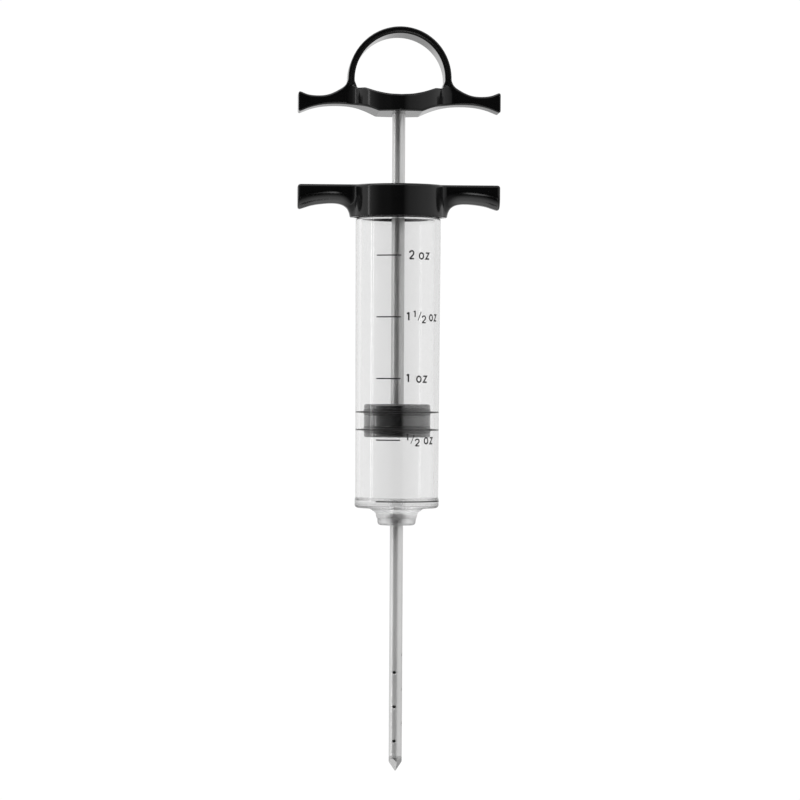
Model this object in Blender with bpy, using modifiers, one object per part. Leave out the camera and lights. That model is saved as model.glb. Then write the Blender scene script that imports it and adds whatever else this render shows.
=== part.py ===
"""Meat injector: a clear two-ounce syringe with a winged cap, a ring-handled plunger and a needle with ports.

The barrel stands along +Z with its needle pointing down. The origin is on the barrel's axis, in the plane
of the cap's underside, where two fingers pull against the wings. Front is -Y. Lengths are in metres.

Bodies: the barrel with its needle; the cap, which turns on bayonet lugs; the piston with its seal rings,
which slides; and the plunger, whose rod turns in the piston. Every joint axis is the Z axis.
"""

import math

import bmesh
import bpy

MM = 0.001
GAP = 0.3 * MM  # left between pieces that touch on the real object
ROUND_SEGMENTS = 48
SMALL_SEGMENTS = 24
HALF_FACET = 2.3  # degrees, on the two hubs

# Barrel: a bore of 28.4 mm holds half a US fluid ounce in 23.3 mm of length.
BORE_R = 14.2 * MM
BARREL_TOP_R = 16.3 * MM
BARREL_LOW_R = 15.85 * MM
NECK_R = 15.2 * MM
NECK_TOP_Z = 8.6 * MM
SHOULDER_Z = -0.5 * MM
RIM_R = 16.05 * MM
RIM_Z = -107.4 * MM
FLOOR_Z = -108.1 * MM
BASE_Z = -110.8 * MM
NOZZLE_R = 7.6 * MM
NOZZLE_Z = -114.9 * MM
OUTLET_R = 2.0 * MM

# Bayonet between the barrel's neck and the cap.
LUG_R = 16.3 * MM
LUG_LOW_Z = 5.6 * MM
LUG_HALF_ANGLE = 20.0
LEDGE_R = NECK_R + GAP
LEDGE_LOW_Z = 2.0 * MM
LEDGE_TOP_Z = LUG_LOW_Z - GAP
LEDGE_ANGLES = (-27.0, 28.0)
STOP_ANGLES = (21.5, 28.0)

# Cap with two finger wings.
CAP_R = 18.0 * MM
CAP_H = 12.3 * MM
CAP_SPAN = 38.65 * MM
CAVITY_R = 16.6 * MM
CEILING_Z = 9.2 * MM
SPIGOT_R = 13.0 * MM
SPIGOT_WALL = 1.6 * MM
SPIGOT_LOW_Z = -1.0 * MM
GUIDE_R = 4.6 * MM
GUIDE_LOW_Z = 6.8 * MM
WING_HALF_DEPTH = 6.5 * MM

# Plunger: rod and ring handle.
ROD_R = 2.5 * MM
ROD_HOLE_R = ROD_R + GAP
ROD_TOP_Z = 43.5 * MM
ROD_STEP_Z = -75.7 * MM
STUD_R = 1.75 * MM
STUD_LOW_Z = -83.6 * MM
HUB_R = 18.25 * MM
HUB_LOW_Z = 39.6 * MM
HANDLE_SPAN = 38.55 * MM
RING_Z = 52.4 * MM
RING_R = 19.7 * MM
RING_INNER_R = 17.2 * MM
RING_HALF_DEPTH = 11.8 * MM

# Piston and its seals.
PISTON_R = 12.7 * MM
PISTON_TOP_Z = -71.2 * MM
PISTON_LOW_Z = -83.9 * MM
SEAL_ZS = (-74.3 * MM, -81.0 * MM)
SEAL_HALF_WIDTH = 1.3 * MM
SEAL_ROOT_R = 11.2 * MM
SEAL_TIP_R = BORE_R - GAP
SEAL_TIP_HALF_WIDTH = 0.3 * MM
RECESS_R = 5.2 * MM
RECESS_Z = -79.4 * MM
STEP_Z = ROD_STEP_Z - GAP
STUD_HOLE_R = STUD_R + GAP
WASHER_R = 4.6 * MM
WASHER_T = 0.8 * MM
NUT_FLATS = 7.0 * MM
NUT_H = 2.4 * MM

# Needle.
NEEDLE_R = 2.5 * MM
NEEDLE_BORE_R = 1.95 * MM
NEEDLE_TOP_Z = -112.3 * MM
FLANGE_R = 3.6 * MM
FLANGE_TOP_Z = -113.5 * MM
FLANGE_LOW_Z = -114.3 * MM
TUBE_END_Z = -205.9 * MM
POINT_Z = -211.6 * MM
POINT_RIDGE_H = 3.6 * MM
PORT_R = 0.65 * MM
PORT_PITCH = 13.1 * MM
FRONT_PORT_TOP_Z = -173.7 * MM
SIDE_PORT_TOP_Z = FRONT_PORT_TOP_Z + PORT_PITCH / 2
PORT_TURN = -15.0  # degrees that the drilled pattern is turned about Z
COLLAR_R = 7.35 * MM
COLLAR_LOW_Z = -117.5 * MM

COLOURS = {  # slot: (colour, metallic, roughness)
    "clear_plastic": ((0.92, 0.93, 0.93, 1.0), 0.0, 0.06),
    "black_plastic": ((0.012, 0.012, 0.012, 1.0), 0.0, 0.16),
    "dark_rubber": ((0.03, 0.03, 0.03, 1.0), 0.0, 0.55),
    "grey_plastic": ((0.05, 0.05, 0.05, 1.0), 0.0, 0.40),
    "steel": ((0.62, 0.62, 0.61, 1.0), 1.0, 0.22),
}


def clear_scene():
    for obj in list(bpy.data.objects):
        bpy.data.objects.remove(obj, do_unlink=True)


def new_collection(name):
    collection = bpy.data.collections.new(name)
    bpy.context.scene.collection.children.link(collection)
    return collection


def new_material(name, colour, metallic, roughness):
    material = bpy.data.materials.new(name)
    material.use_nodes = True
    shader = material.node_tree.nodes["Principled BSDF"]
    shader.inputs["Base Color"].default_value = colour
    shader.inputs["Metallic"].default_value = metallic
    shader.inputs["Roughness"].default_value = roughness
    material.diffuse_color = colour
    return material


# Outlines are lists of 2D points. A corner given as (x, y, radius) is rounded with that radius.


def rounded(corners, steps=4, closed=True):
    """The outline with each corner that has a radius replaced by an arc."""
    points = []
    count = len(corners)
    for i, corner in enumerate(corners):
        x, y = corner[0], corner[1]
        radius = corner[2] if len(corner) == 3 else 0.0
        at_end = not closed and i in (0, count - 1)
        if radius == 0.0 or at_end:
            points.append((x, y))
            continue
        before = corners[i - 1]
        after = corners[(i + 1) % count]
        points.extend(corner_arc((before[0], before[1]), (x, y), (after[0], after[1]), radius, steps))
    return points


def corner_arc(before, corner, after, radius, steps):
    """Points of the arc that rounds a corner between two straight sides."""
    to_before = math.atan2(before[1] - corner[1], before[0] - corner[0])
    to_after = math.atan2(after[1] - corner[1], after[0] - corner[0])
    opening = (to_after - to_before + math.pi) % (2 * math.pi) - math.pi
    half = abs(opening) / 2
    middle = to_before + opening / 2
    centre_distance = radius / math.sin(half)
    cx = corner[0] + centre_distance * math.cos(middle)
    cy = corner[1] + centre_distance * math.sin(middle)
    sweep = math.copysign(math.pi - 2 * half, opening)
    start = middle + math.pi + sweep / 2
    angles = [start - sweep * k / steps for k in range(steps + 1)]
    return [(cx + radius * math.cos(a), cy + radius * math.sin(a)) for a in angles]


def smooth(points, steps=4):
    """A Catmull-Rom curve through the points, both ends included."""
    first = tuple(2 * a - b for a, b in zip(points[0], points[1]))
    last = tuple(2 * a - b for a, b in zip(points[-1], points[-2]))
    padded = [first, *points, last]
    curve = []
    for i in range(1, len(padded) - 2):
        p0, p1, p2, p3 = padded[i - 1 : i + 3]
        for k in range(steps):
            t = k / steps
            curve.append(tuple(catmull_rom(a, b, c, d, t) for a, b, c, d in zip(p0, p1, p2, p3)))
    curve.append(tuple(points[-1]))
    return curve


def catmull_rom(a, b, c, d, t):
    return 0.5 * (2 * b + (c - a) * t + (2 * a - 5 * b + 4 * c - d) * t**2 + (3 * b - a - 3 * c + d) * t**3)


def arc(centre, radius, start_deg, end_deg, steps):
    """Points on a circle between two angles, both ends included."""
    angles = [math.radians(start_deg + (end_deg - start_deg) * k / steps) for k in range(steps + 1)]
    return [(centre[0] + radius * math.cos(a), centre[1] + radius * math.sin(a)) for a in angles]


def mirrored(right_half):
    """A closed outline from its right half. A point on the mirror line isn't doubled."""
    left_half = [(-x, y) for x, y in reversed(right_half) if abs(x) > 1e-9]
    return right_half + left_half


def in_mm(points):
    return [tuple(value * MM for value in point) for point in points]


# Solids


def add_object(name, mesh, collection, material=None):
    obj = bpy.data.objects.new(name, mesh)
    collection.objects.link(obj)
    if material is not None:
        obj.data.materials.clear()
        obj.data.materials.append(material)
    return obj


def as_cutter(obj):
    obj.hide_render = True
    obj.display_type = "WIRE"
    return obj


def shade(obj, angle=35.0):
    obj.data.shade_smooth()
    obj.data.set_sharp_from_angle(angle=math.radians(angle))


def turned(name, profile, collection, material=None, segments=ROUND_SEGMENTS, closed=True):
    """A profile of (radius, z) points turned about Z. It runs down the outer side, top to bottom."""
    mesh = bpy.data.meshes.new(name)
    count = len(profile)
    edges = [(i, i + 1) for i in range(count - 1)]
    if closed:
        edges.append((count - 1, 0))
    mesh.from_pydata([(r, 0.0, z) for r, z in profile], edges, [])
    obj = add_object(name, mesh, collection, material)
    screw = obj.modifiers.new("Turn", "SCREW")
    screw.axis = "Z"
    screw.angle = 2 * math.pi
    screw.steps = segments
    screw.render_steps = segments
    screw.use_merge_vertices = True
    screw.merge_threshold = 1e-6
    screw.use_smooth_shade = True
    return obj


def plate(name, outline, depth, plane, collection, centre=0.0, material=None):
    """A closed outline given thickness across its plane.

    plane is "XZ" (seen from the front), "XY" (seen from above) or "YZ" (seen from the side), and centre is
    where the middle of the thickness lies on the third axis.
    """
    curve = bpy.data.curves.new(name, "CURVE")
    curve.dimensions = "2D"
    curve.fill_mode = "BOTH"
    curve.extrude = depth / 2
    spline = curve.splines.new("POLY")
    spline.points.add(len(outline) - 1)
    for point, (a, b) in zip(spline.points, outline):
        point.co = (a, b, 0.0, 1.0)
    spline.use_cyclic_u = True
    guide = bpy.data.objects.new(name + "_outline", curve)
    collection.objects.link(guide)
    turns = {"XY": (0.0, 0.0, 0.0), "XZ": (math.pi / 2, 0.0, 0.0), "YZ": (math.pi / 2, 0.0, math.pi / 2)}
    places = {"XY": (0.0, 0.0, centre), "XZ": (0.0, centre, 0.0), "YZ": (centre, 0.0, 0.0)}
    guide.rotation_euler = turns[plane]
    guide.location = places[plane]
    bpy.context.view_layer.update()
    mesh = bpy.data.meshes.new_from_object(guide.evaluated_get(bpy.context.evaluated_depsgraph_get()))
    weld(mesh)
    obj = add_object(name, mesh, collection, material)
    obj.matrix_world = guide.matrix_world
    bpy.data.objects.remove(guide, do_unlink=True)
    return obj


def weld(mesh):
    work = bmesh.new()
    work.from_mesh(mesh)
    bmesh.ops.remove_doubles(work, verts=work.verts, dist=1e-6)
    bmesh.ops.recalc_face_normals(work, faces=work.faces)
    work.to_mesh(mesh)
    work.free()


def combine(obj, other, operation):
    """A Boolean modifier on obj. The other object is a cutter."""
    modifier = obj.modifiers.new(f"{operation.title()} {other.name}", "BOOLEAN")
    modifier.operation = operation
    modifier.solver = "EXACT"
    modifier.object = as_cutter(other)
    return obj


def sector(name, inner_r, outer_r, low_z, top_z, angles, collection):
    """A block between two radii and two angles."""
    steps = max(3, round(abs(angles[1] - angles[0]) / 8))
    outline = arc((0.0, 0.0), outer_r, angles[0], angles[1], steps)
    outline += reversed(arc((0.0, 0.0), inner_r, angles[0], angles[1], steps))
    return plate(name, outline, top_z - low_z, "XY", collection, centre=(top_z + low_z) / 2)


def winged_plan(hub_r, half_depth, half_span, fillet_r):
    """Seen from above: a round hub with a straight wing to each side and a fillet in each corner.

    The hub's first facet lies across the mirror line, so no upright edge falls on it.
    """
    centre_y = half_depth + fillet_r
    centre_x = math.sqrt((hub_r + fillet_r) ** 2 - centre_y**2)
    meets_hub = math.degrees(math.atan2(centre_y, centre_x))
    quarter = arc((0.0, 0.0), hub_r, 90.0 - HALF_FACET, meets_hub, 14)
    quarter += arc((centre_x, centre_y), fillet_r, 180.0 + meets_hub, 270.0, 4)[1:]
    quarter.append((half_span, half_depth))
    lower = [(x, -y) for x, y in reversed(quarter)]
    return mirrored(quarter + lower)


# Sub-parts


def make_barrel(parts, cutters, material):
    needle_hole_top = NEEDLE_TOP_Z + GAP
    flange_hole_top = FLANGE_TOP_Z + GAP
    profile = rounded(
        [
            (NECK_R, NECK_TOP_Z, 0.3 * MM),
            (NECK_R, SHOULDER_Z),
            (BARREL_TOP_R, SHOULDER_Z, 0.8 * MM),
            (BARREL_LOW_R, RIM_Z + 0.2 * MM),
            (RIM_R, RIM_Z),
            (RIM_R, BASE_Z, 1.1 * MM),
            (10.3 * MM, BASE_Z - 0.4 * MM, 2.0 * MM),
            (NOZZLE_R + 0.5 * MM, -112.7 * MM, 0.9 * MM),
            (NOZZLE_R, NOZZLE_Z),
            (FLANGE_R + GAP, NOZZLE_Z),
            (FLANGE_R + GAP, flange_hole_top),
            (NEEDLE_R + GAP, flange_hole_top),
            (NEEDLE_R + GAP, needle_hole_top),
            (OUTLET_R, needle_hole_top),
            (OUTLET_R, FLOOR_Z, 0.3 * MM),
            (BORE_R, FLOOR_Z, 0.5 * MM),
            (BORE_R, NECK_TOP_Z),
        ]
    )
    barrel = turned("barrel", profile, parts, material)
    for index, middle in enumerate((0.0, 180.0)):
        angles = (middle - LUG_HALF_ANGLE, middle + LUG_HALF_ANGLE)
        root_r = NECK_R - 0.5 * MM
        lug = sector(f"lug_{index + 1}", root_r, LUG_R, LUG_LOW_Z, NECK_TOP_Z - 0.4 * MM, angles, cutters)
        combine(barrel, lug, "UNION")
    return barrel


def cap_front_outline():
    """Flat top, blunt wing tips, and an arch under each wing for a finger."""
    arch = [(37.2, 3.1), (32.5, 4.5), (26.5, 5.2), (22.4, 4.9), (20.0, 3.6), (18.9, 1.8)]
    underside = smooth(in_mm(arch))
    top_corner = (CAP_SPAN, CAP_H, 1.1 * MM)
    low_corner = (CAP_SPAN - 0.5 * MM, 2.7 * MM, 0.9 * MM)
    tip = [(0.0, CAP_H), top_corner, low_corner, underside[0]]
    foot = [(CAP_R + 0.35 * MM, 0.0)]
    return mirrored(rounded(tip, 3, False)[1:-1] + underside + foot)


def make_cap(parts, cutters, material):
    cap = plate("barrel_cap", cap_front_outline(), 40.0 * MM, "XZ", parts, material=material)
    plan = winged_plan(CAP_R, WING_HALF_DEPTH, CAP_SPAN + 2.0 * MM, 1.3 * MM)
    combine(cap, plate("cap_plan", plan, 60.0 * MM, "XY", cutters), "INTERSECT")

    cavity = [(0.0, CEILING_Z), (CAVITY_R, CEILING_Z), (CAVITY_R, -3.0 * MM), (0.0, -3.0 * MM)]
    combine(cap, turned("cap_cavity", cavity, cutters, closed=False), "DIFFERENCE")

    core = [
        (0.0, CEILING_Z + 0.6 * MM),
        (SPIGOT_R, CEILING_Z + 0.6 * MM),
        (SPIGOT_R, SPIGOT_LOW_Z),
        (SPIGOT_R - SPIGOT_WALL, SPIGOT_LOW_Z),
        (SPIGOT_R - SPIGOT_WALL, CEILING_Z),
        (GUIDE_R, CEILING_Z),
        (GUIDE_R, GUIDE_LOW_Z),
        (0.0, GUIDE_LOW_Z),
    ]
    combine(cap, turned("cap_core", core, cutters, closed=False), "UNION")

    hole = [(0.0, CAP_H + 2.0 * MM), (ROD_HOLE_R, CAP_H + 2.0 * MM), (ROD_HOLE_R, 0.0), (0.0, 0.0)]
    rod_hole = turned("cap_rod_hole", hole, cutters, segments=SMALL_SEGMENTS, closed=False)
    combine(cap, rod_hole, "DIFFERENCE")

    overlap = 0.5 * MM
    wall_r = CAVITY_R + overlap
    stop_low = LEDGE_TOP_Z - overlap
    stop_top = CEILING_Z + overlap
    for index, middle in enumerate((0.0, 180.0)):
        ledge_angles = [middle + a for a in LEDGE_ANGLES]
        ledge = sector(f"ledge_{index + 1}", LEDGE_R, wall_r, LEDGE_LOW_Z, LEDGE_TOP_Z, ledge_angles, cutters)
        combine(cap, ledge, "UNION")
        stop_angles = [middle + a for a in STOP_ANGLES]
        stop = sector(f"stop_{index + 1}", LEDGE_R, wall_r, stop_low, stop_top, stop_angles, cutters)
        combine(cap, stop, "UNION")
    return cap


def handle_front_outline():
    """Saddle, wings and the low ridge that each ring leg grows from."""
    saddle = smooth(in_mm([(0.0, 45.9), (4.5, 46.2), (9.0, 47.2), (13.4, 48.8)]))
    ridge = in_mm([(16.0, 48.9), (17.6, 50.1), (19.8, 49.9)])
    dip = [(21.0, 49.3), (23.5, 48.0), (27.0, 46.5), (30.5, 46.0), (34.5, 46.3), (37.8, 47.5)]
    wing_top = smooth(in_mm(dip))
    tip = in_mm([(38.35, 47.5), (38.55, 47.1), (38.55, 40.2), (38.3, 39.9)])
    wing_low = [(37.7, 40.0), (33.5, 41.6), (28.5, 42.6), (22.5, 42.8), (17.0, 42.3), (12.5, 41.3)]
    foot = (8.2 * MM, HUB_LOW_Z)
    return mirrored(saddle + ridge + wing_top + tip + smooth(in_mm(wing_low) + [foot]))


def ring_outline():
    """The thumb ring as an arch on two flared legs, whose feet end inside the hub."""
    foot_z = 47.2 * MM
    outer = arc((0.0, RING_Z), RING_R, 90.0, 0.0, 24)
    flare = smooth(in_mm([(19.8, 51.8), (20.5, 50.3), (21.5, 49.3), (22.6, 48.5), (23.6, 47.9)]), 3)
    chamfer = in_mm([(16.0, 48.7), (17.2, 51.7)])
    inner = arc((0.0, RING_Z), RING_INNER_R, 0.0, 90.0, 24)
    right = outer + flare + [(23.6 * MM, foot_z), (15.6 * MM, foot_z)] + chamfer + inner
    left = [(-x, z) for x, z in reversed(right)]
    return right + left[1:-1]


def make_ring(cutters):
    """The arch, narrowed towards its feet as seen from the side."""
    ring = plate("thumb_ring", ring_outline(), 40.0 * MM, "XZ", cutters)
    foot_half_depth = WING_HALF_DEPTH - 0.05 * MM
    side = [(foot_half_depth, 46.0 * MM), (foot_half_depth, 48.0 * MM), (RING_HALF_DEPTH, 74.0 * MM)]
    band = plate("ring_side", side + [(-y, z) for y, z in reversed(side)], 60.0 * MM, "YZ", cutters)
    return combine(ring, band, "INTERSECT")


def make_handle(parts, cutters, material):
    handle = plate("plunger_handle", handle_front_outline(), 40.0 * MM, "XZ", parts, material=material)
    plan = winged_plan(HUB_R, WING_HALF_DEPTH, HANDLE_SPAN + 2.0 * MM, 3.0 * MM)
    combine(handle, plate("handle_plan", plan, 120.0 * MM, "XY", cutters), "INTERSECT")
    combine(handle, make_ring(cutters), "UNION")
    socket = [
        (0.0, ROD_TOP_Z + GAP),
        (ROD_HOLE_R, ROD_TOP_Z + GAP),
        (ROD_HOLE_R, HUB_LOW_Z - 2.0 * MM),
        (0.0, HUB_LOW_Z - 2.0 * MM),
    ]
    rod_socket = turned("handle_socket", socket, cutters, segments=SMALL_SEGMENTS, closed=False)
    combine(handle, rod_socket, "DIFFERENCE")
    return handle


def make_rod(parts, material):
    groove_r = ROD_R - 0.3 * MM
    profile = rounded(
        [
            (0.0, ROD_TOP_Z),
            (ROD_R, ROD_TOP_Z, 0.3 * MM),
            (ROD_R, ROD_TOP_Z - 1.2 * MM),
            (groove_r, ROD_TOP_Z - 1.2 * MM),
            (groove_r, ROD_TOP_Z - 2.0 * MM),
            (ROD_R, ROD_TOP_Z - 2.0 * MM),
            (ROD_R, ROD_STEP_Z),
            (STUD_R, ROD_STEP_Z),
            (STUD_R, STUD_LOW_Z, 0.3 * MM),
            (0.0, STUD_LOW_Z),
        ],
        steps=2,
        closed=False,
    )
    return turned("plunger_rod", profile, parts, material, SMALL_SEGMENTS, closed=False)


def make_piston(parts, material):
    groove_r = SEAL_ROOT_R - GAP
    corners = [(PISTON_R, PISTON_TOP_Z, 1.2 * MM)]
    for z in SEAL_ZS:
        top = z + SEAL_HALF_WIDTH + GAP
        low = z - SEAL_HALF_WIDTH - GAP
        corners += [(PISTON_R, top), (groove_r, top), (groove_r, low), (PISTON_R, low)]
    corners += [
        (PISTON_R, PISTON_LOW_Z, 1.0 * MM),
        (RECESS_R, PISTON_LOW_Z),
        (RECESS_R, RECESS_Z),
        (STUD_HOLE_R, RECESS_Z),
        (STUD_HOLE_R, STEP_Z),
        (ROD_HOLE_R, STEP_Z),
        (ROD_HOLE_R, PISTON_TOP_Z),
    ]
    return turned("piston_body", rounded(corners), parts, material)


def make_seals(parts, material):
    half = [
        (SEAL_TIP_R, SEAL_TIP_HALF_WIDTH),
        (PISTON_R + 0.5 * MM, 0.5 * MM),
        (PISTON_R, SEAL_HALF_WIDTH),
        (SEAL_ROOT_R, SEAL_HALF_WIDTH),
    ]
    section = [*reversed(half), *((r, -dz) for r, dz in half)]
    for name, z in zip(("upper_seal_ring", "lower_seal_ring"), SEAL_ZS):
        turned(name, [(r, z + dz) for r, dz in section], parts, material)


def make_fastening(parts, cutters, material):
    """The washer and nut that hold the piston on the rod's stud, in the recess under the piston."""
    washer_top = RECESS_Z - GAP
    washer_low = washer_top - WASHER_T
    washer = [
        (WASHER_R, washer_top),
        (WASHER_R, washer_low),
        (STUD_HOLE_R, washer_low),
        (STUD_HOLE_R, washer_top),
    ]
    turned("piston_washer", washer, parts, material, SMALL_SEGMENTS)
    nut_top = washer_low - GAP
    hexagon = arc((0.0, 0.0), NUT_FLATS / math.sqrt(3), 0.0, 300.0, 5)
    nut = plate("piston_nut", hexagon, NUT_H, "XY", parts, centre=nut_top - NUT_H / 2, material=material)
    top, low = nut_top + 2.0 * MM, nut_top - NUT_H - 2.0 * MM
    hole = [(0.0, top), (STUD_HOLE_R, top), (STUD_HOLE_R, low), (0.0, low)]
    combine(nut, turned("nut_hole", hole, cutters, segments=SMALL_SEGMENTS, closed=False), "DIFFERENCE")


def make_needle(parts, cutters, material):
    profile = [
        (NEEDLE_R, NEEDLE_TOP_Z),
        (NEEDLE_R, FLANGE_TOP_Z),
        (FLANGE_R, FLANGE_TOP_Z),
        (FLANGE_R, FLANGE_LOW_Z),
        (NEEDLE_R, FLANGE_LOW_Z),
        (NEEDLE_R, TUBE_END_Z),
        (NEEDLE_BORE_R, TUBE_END_Z),
        (NEEDLE_BORE_R, NEEDLE_TOP_Z),
    ]
    tube = turned("needle_tube", profile, parts, material, SMALL_SEGMENTS)
    for row, (top_z, turn) in enumerate(((FRONT_PORT_TOP_Z, 0.0), (SIDE_PORT_TOP_Z, 90.0))):
        for index in range(3):
            drill = make_drill(f"drill_{row + 1}_{index + 1}", top_z - index * PORT_PITCH, turn, cutters)
            combine(tube, drill, "DIFFERENCE")

    plug_r = NEEDLE_BORE_R - GAP
    point_top = TUBE_END_Z - GAP
    blank = [
        (0.0, TUBE_END_Z + 2.0 * MM),
        (plug_r, TUBE_END_Z + 2.0 * MM),
        (plug_r, point_top),
        (NEEDLE_R, point_top),
        (NEEDLE_R, POINT_Z),
        (0.0, POINT_Z),
    ]
    point = turned("needle_point", blank, parts, material, SMALL_SEGMENTS, closed=False)
    combine(point, make_facets(cutters), "INTERSECT")


def make_drill(name, z, turn, cutters):
    mesh = bpy.data.meshes.new(name)
    work = bmesh.new()
    bmesh.ops.create_cone(work, cap_ends=True, segments=12, radius1=PORT_R, radius2=PORT_R, depth=8.0 * MM)
    work.to_mesh(mesh)
    work.free()
    drill = add_object(name, mesh, cutters)
    drill.rotation_euler = (math.pi / 2, 0.0, math.radians(PORT_TURN + turn))
    drill.location = (0.0, 0.0, z)
    return drill


def make_facets(cutters):
    """A four-sided pyramid, point down, whose ridges meet the needle's wall POINT_RIDGE_H above the point."""
    height = 12.0 * MM
    base_r = NEEDLE_R * height / POINT_RIDGE_H
    mesh = bpy.data.meshes.new("point_facets")
    work = bmesh.new()
    bmesh.ops.create_cone(work, cap_ends=True, segments=4, radius1=0.0, radius2=base_r, depth=height)
    work.to_mesh(mesh)
    work.free()
    facets = add_object("point_facets", mesh, cutters)
    facets.location = (0.0, 0.0, POINT_Z + height / 2)
    facets.rotation_euler = (0.0, 0.0, math.radians(10.0))
    return facets


def make_collar(parts, material):
    spigot_r = FLANGE_R
    profile = rounded(
        [
            (spigot_r, FLANGE_LOW_Z - GAP),
            (spigot_r, NOZZLE_Z - GAP),
            (COLLAR_R, NOZZLE_Z - GAP),
            (COLLAR_R - 0.15 * MM, COLLAR_LOW_Z, 1.2 * MM),
            (NEEDLE_R + GAP, COLLAR_LOW_Z),
            (NEEDLE_R + GAP, FLANGE_LOW_Z - GAP),
        ]
    )
    return turned("needle_collar", profile, parts, material, SMALL_SEGMENTS)


def main():
    clear_scene()
    parts = new_collection("meat_injector")
    cutters = new_collection("cutters")
    materials = {slot: new_material(slot, *values) for slot, values in COLOURS.items()}
    make_barrel(parts, cutters, materials["clear_plastic"])
    make_cap(parts, cutters, materials["black_plastic"])
    make_handle(parts, cutters, materials["black_plastic"])
    make_rod(parts, materials["steel"])
    make_piston(parts, materials["grey_plastic"])
    make_seals(parts, materials["dark_rubber"])
    make_fastening(parts, cutters, materials["steel"])
    make_needle(parts, cutters, materials["steel"])
    make_collar(parts, materials["clear_plastic"])
    for obj in parts.objects:
        shade(obj)


main()
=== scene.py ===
"""The meat injector's looks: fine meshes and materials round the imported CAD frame, a studio, a camera.

Everything rides on one of four bodies: barrel, cap, piston and plunger. Shapes are written in
millimetres and become metres when a mesh is made. The object's axis is Z; angles about it start at the
front, -Y, and grow towards +X. Two kinds of mesh are used: a turned profile, and a skin grown on a
field of signed distance.
"""

import math

import bmesh
import bpy
import numpy as np
from mathutils import Matrix, Vector


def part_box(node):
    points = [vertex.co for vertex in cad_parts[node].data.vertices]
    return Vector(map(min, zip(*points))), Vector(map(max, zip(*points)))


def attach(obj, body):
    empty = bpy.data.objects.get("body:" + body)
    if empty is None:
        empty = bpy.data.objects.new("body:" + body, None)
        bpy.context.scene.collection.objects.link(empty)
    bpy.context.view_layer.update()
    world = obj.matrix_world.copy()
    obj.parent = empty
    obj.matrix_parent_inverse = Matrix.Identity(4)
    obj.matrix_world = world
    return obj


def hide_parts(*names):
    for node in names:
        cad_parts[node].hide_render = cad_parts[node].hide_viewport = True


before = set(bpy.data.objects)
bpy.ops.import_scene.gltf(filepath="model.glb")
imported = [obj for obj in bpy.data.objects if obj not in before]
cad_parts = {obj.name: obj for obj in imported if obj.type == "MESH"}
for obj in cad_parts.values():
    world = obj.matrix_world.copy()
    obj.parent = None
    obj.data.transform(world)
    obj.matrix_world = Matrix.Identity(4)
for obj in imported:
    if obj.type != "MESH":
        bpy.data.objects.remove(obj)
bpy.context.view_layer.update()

MM = 0.001


def extent(node):
    """Lowest and highest corner of a CAD node, in millimetres."""
    low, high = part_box(node)
    return low / MM, high / MM


CAP_LOW, CAP_HIGH = extent("barrel_cap")
HANDLE_LOW, HANDLE_HIGH = extent("plunger_handle")
ROD_LOW, ROD_HIGH = extent("plunger_rod")
PISTON_LOW, PISTON_HIGH = extent("piston_body")
BARREL_LOW, BARREL_HIGH = extent("barrel")
TUBE_LOW, TUBE_HIGH = extent("needle_tube")
POINT_LOW, POINT_HIGH = extent("needle_point")
COLLAR_LOW, COLLAR_HIGH = extent("needle_collar")

# Barrel
BORE_R = 14.2
SHOULDER_Z = -0.5
BARREL_TOP_R = 16.3
BARREL_LOW_R = 15.85
RIM_TOP_Z = -107.4
RIM_R = 16.05
FLOOR_Z = -108.1
BASE_Z = -110.8
NECK_R = 15.2
NOZZLE_R = 7.6
NOZZLE_Z = BARREL_LOW.z
OUTLET_R = 2.0
BARREL_SEGMENTS = 256

# Cap
CAP_R = 18.0
CAVITY_R = 16.6
CEILING_Z = 9.2
SPIGOT_R = 13.0
SPIGOT_WALL = 1.6
GUIDE_R = 4.6
GUIDE_LOW_Z = 6.8
WING_HALF_DEPTH = 6.5
WING_ROUNDING = 5.3
WING_TIP_ROUNDING = 1.1
WING_FILLET = 1.3

# Bayonet: lugs on the barrel's neck; ledges and stops in the cap. Angles are in degrees, and those of
# the ledges and stops are from the middle of a lug.
LUG_R = 16.3
LUG_LOW_Z = 5.6
LUG_HALF_ANGLE = 20.0
LUG_MIDDLES = (90.0, 270.0)
LEDGE_R = NECK_R + 0.3
LEDGE_LOW_Z = 2.0
LEDGE_HIGH_Z = LUG_LOW_Z - 0.3
LEDGE_ANGLES = (-27.0, 28.0)
STOP_ANGLES = (21.5, 28.0)

# Plunger
ROD_R = ROD_HIGH.x
HUB_R = HANDLE_HIGH.y
HUB_LOW_Z = HANDLE_LOW.z
RING_Z = 52.4
RING_R = HANDLE_HIGH.z - RING_Z
RING_INNER_R = 17.2
RING_HALF_DEPTHS = (6.45, 11.8)  # at the feet and at the top
RING_WIDENS = (48.0, 74.0)
HUB_FILLET = 3.0
STUD_R = 1.75
ROD_STEP_Z = -75.7
THREAD_PITCH = 0.7
THREAD_DEPTH = 0.22

# Piston
PISTON_R = 12.7
SEAL_ZS = {"upper_seal_ring": -74.3, "lower_seal_ring": -81.0}
SEAL_HALF_WIDTH = 1.3
GROOVE_R = 11.1
RECESS_R = 5.2
RECESS_Z = -79.4
WASHER_T = 0.8
WASHER_R = 4.6
NUT_HALF_FLATS = 3.5
NUT_HOLE_R = 1.8
NUT_SINK_R = 2.3

# Needle
NEEDLE_R = 2.5
NEEDLE_BORE_R = 1.95
FLANGE_R = 3.6
FLANGE_TOP_Z = -113.5
FLANGE_LOW_Z = -114.3
PORT_R = 0.65
PORT_PITCH = 13.1
FRONT_PORT_Z = -173.7
PORT_TURN = math.radians(-15)
POINT_RIDGE_HEIGHT = 3.6
POINT_TURN = math.radians(55)

# Meshes
SHARP_ANGLE = math.radians(35)
GUARD = 0.12  # from each end of a straight run to its extra point
MOULDING_STEP = 0.33  # the grid that a skin is grown on
NEEDLE_STEP = 0.2
POINT_STEP = 0.12
NUT_STEP = 0.11


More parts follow.
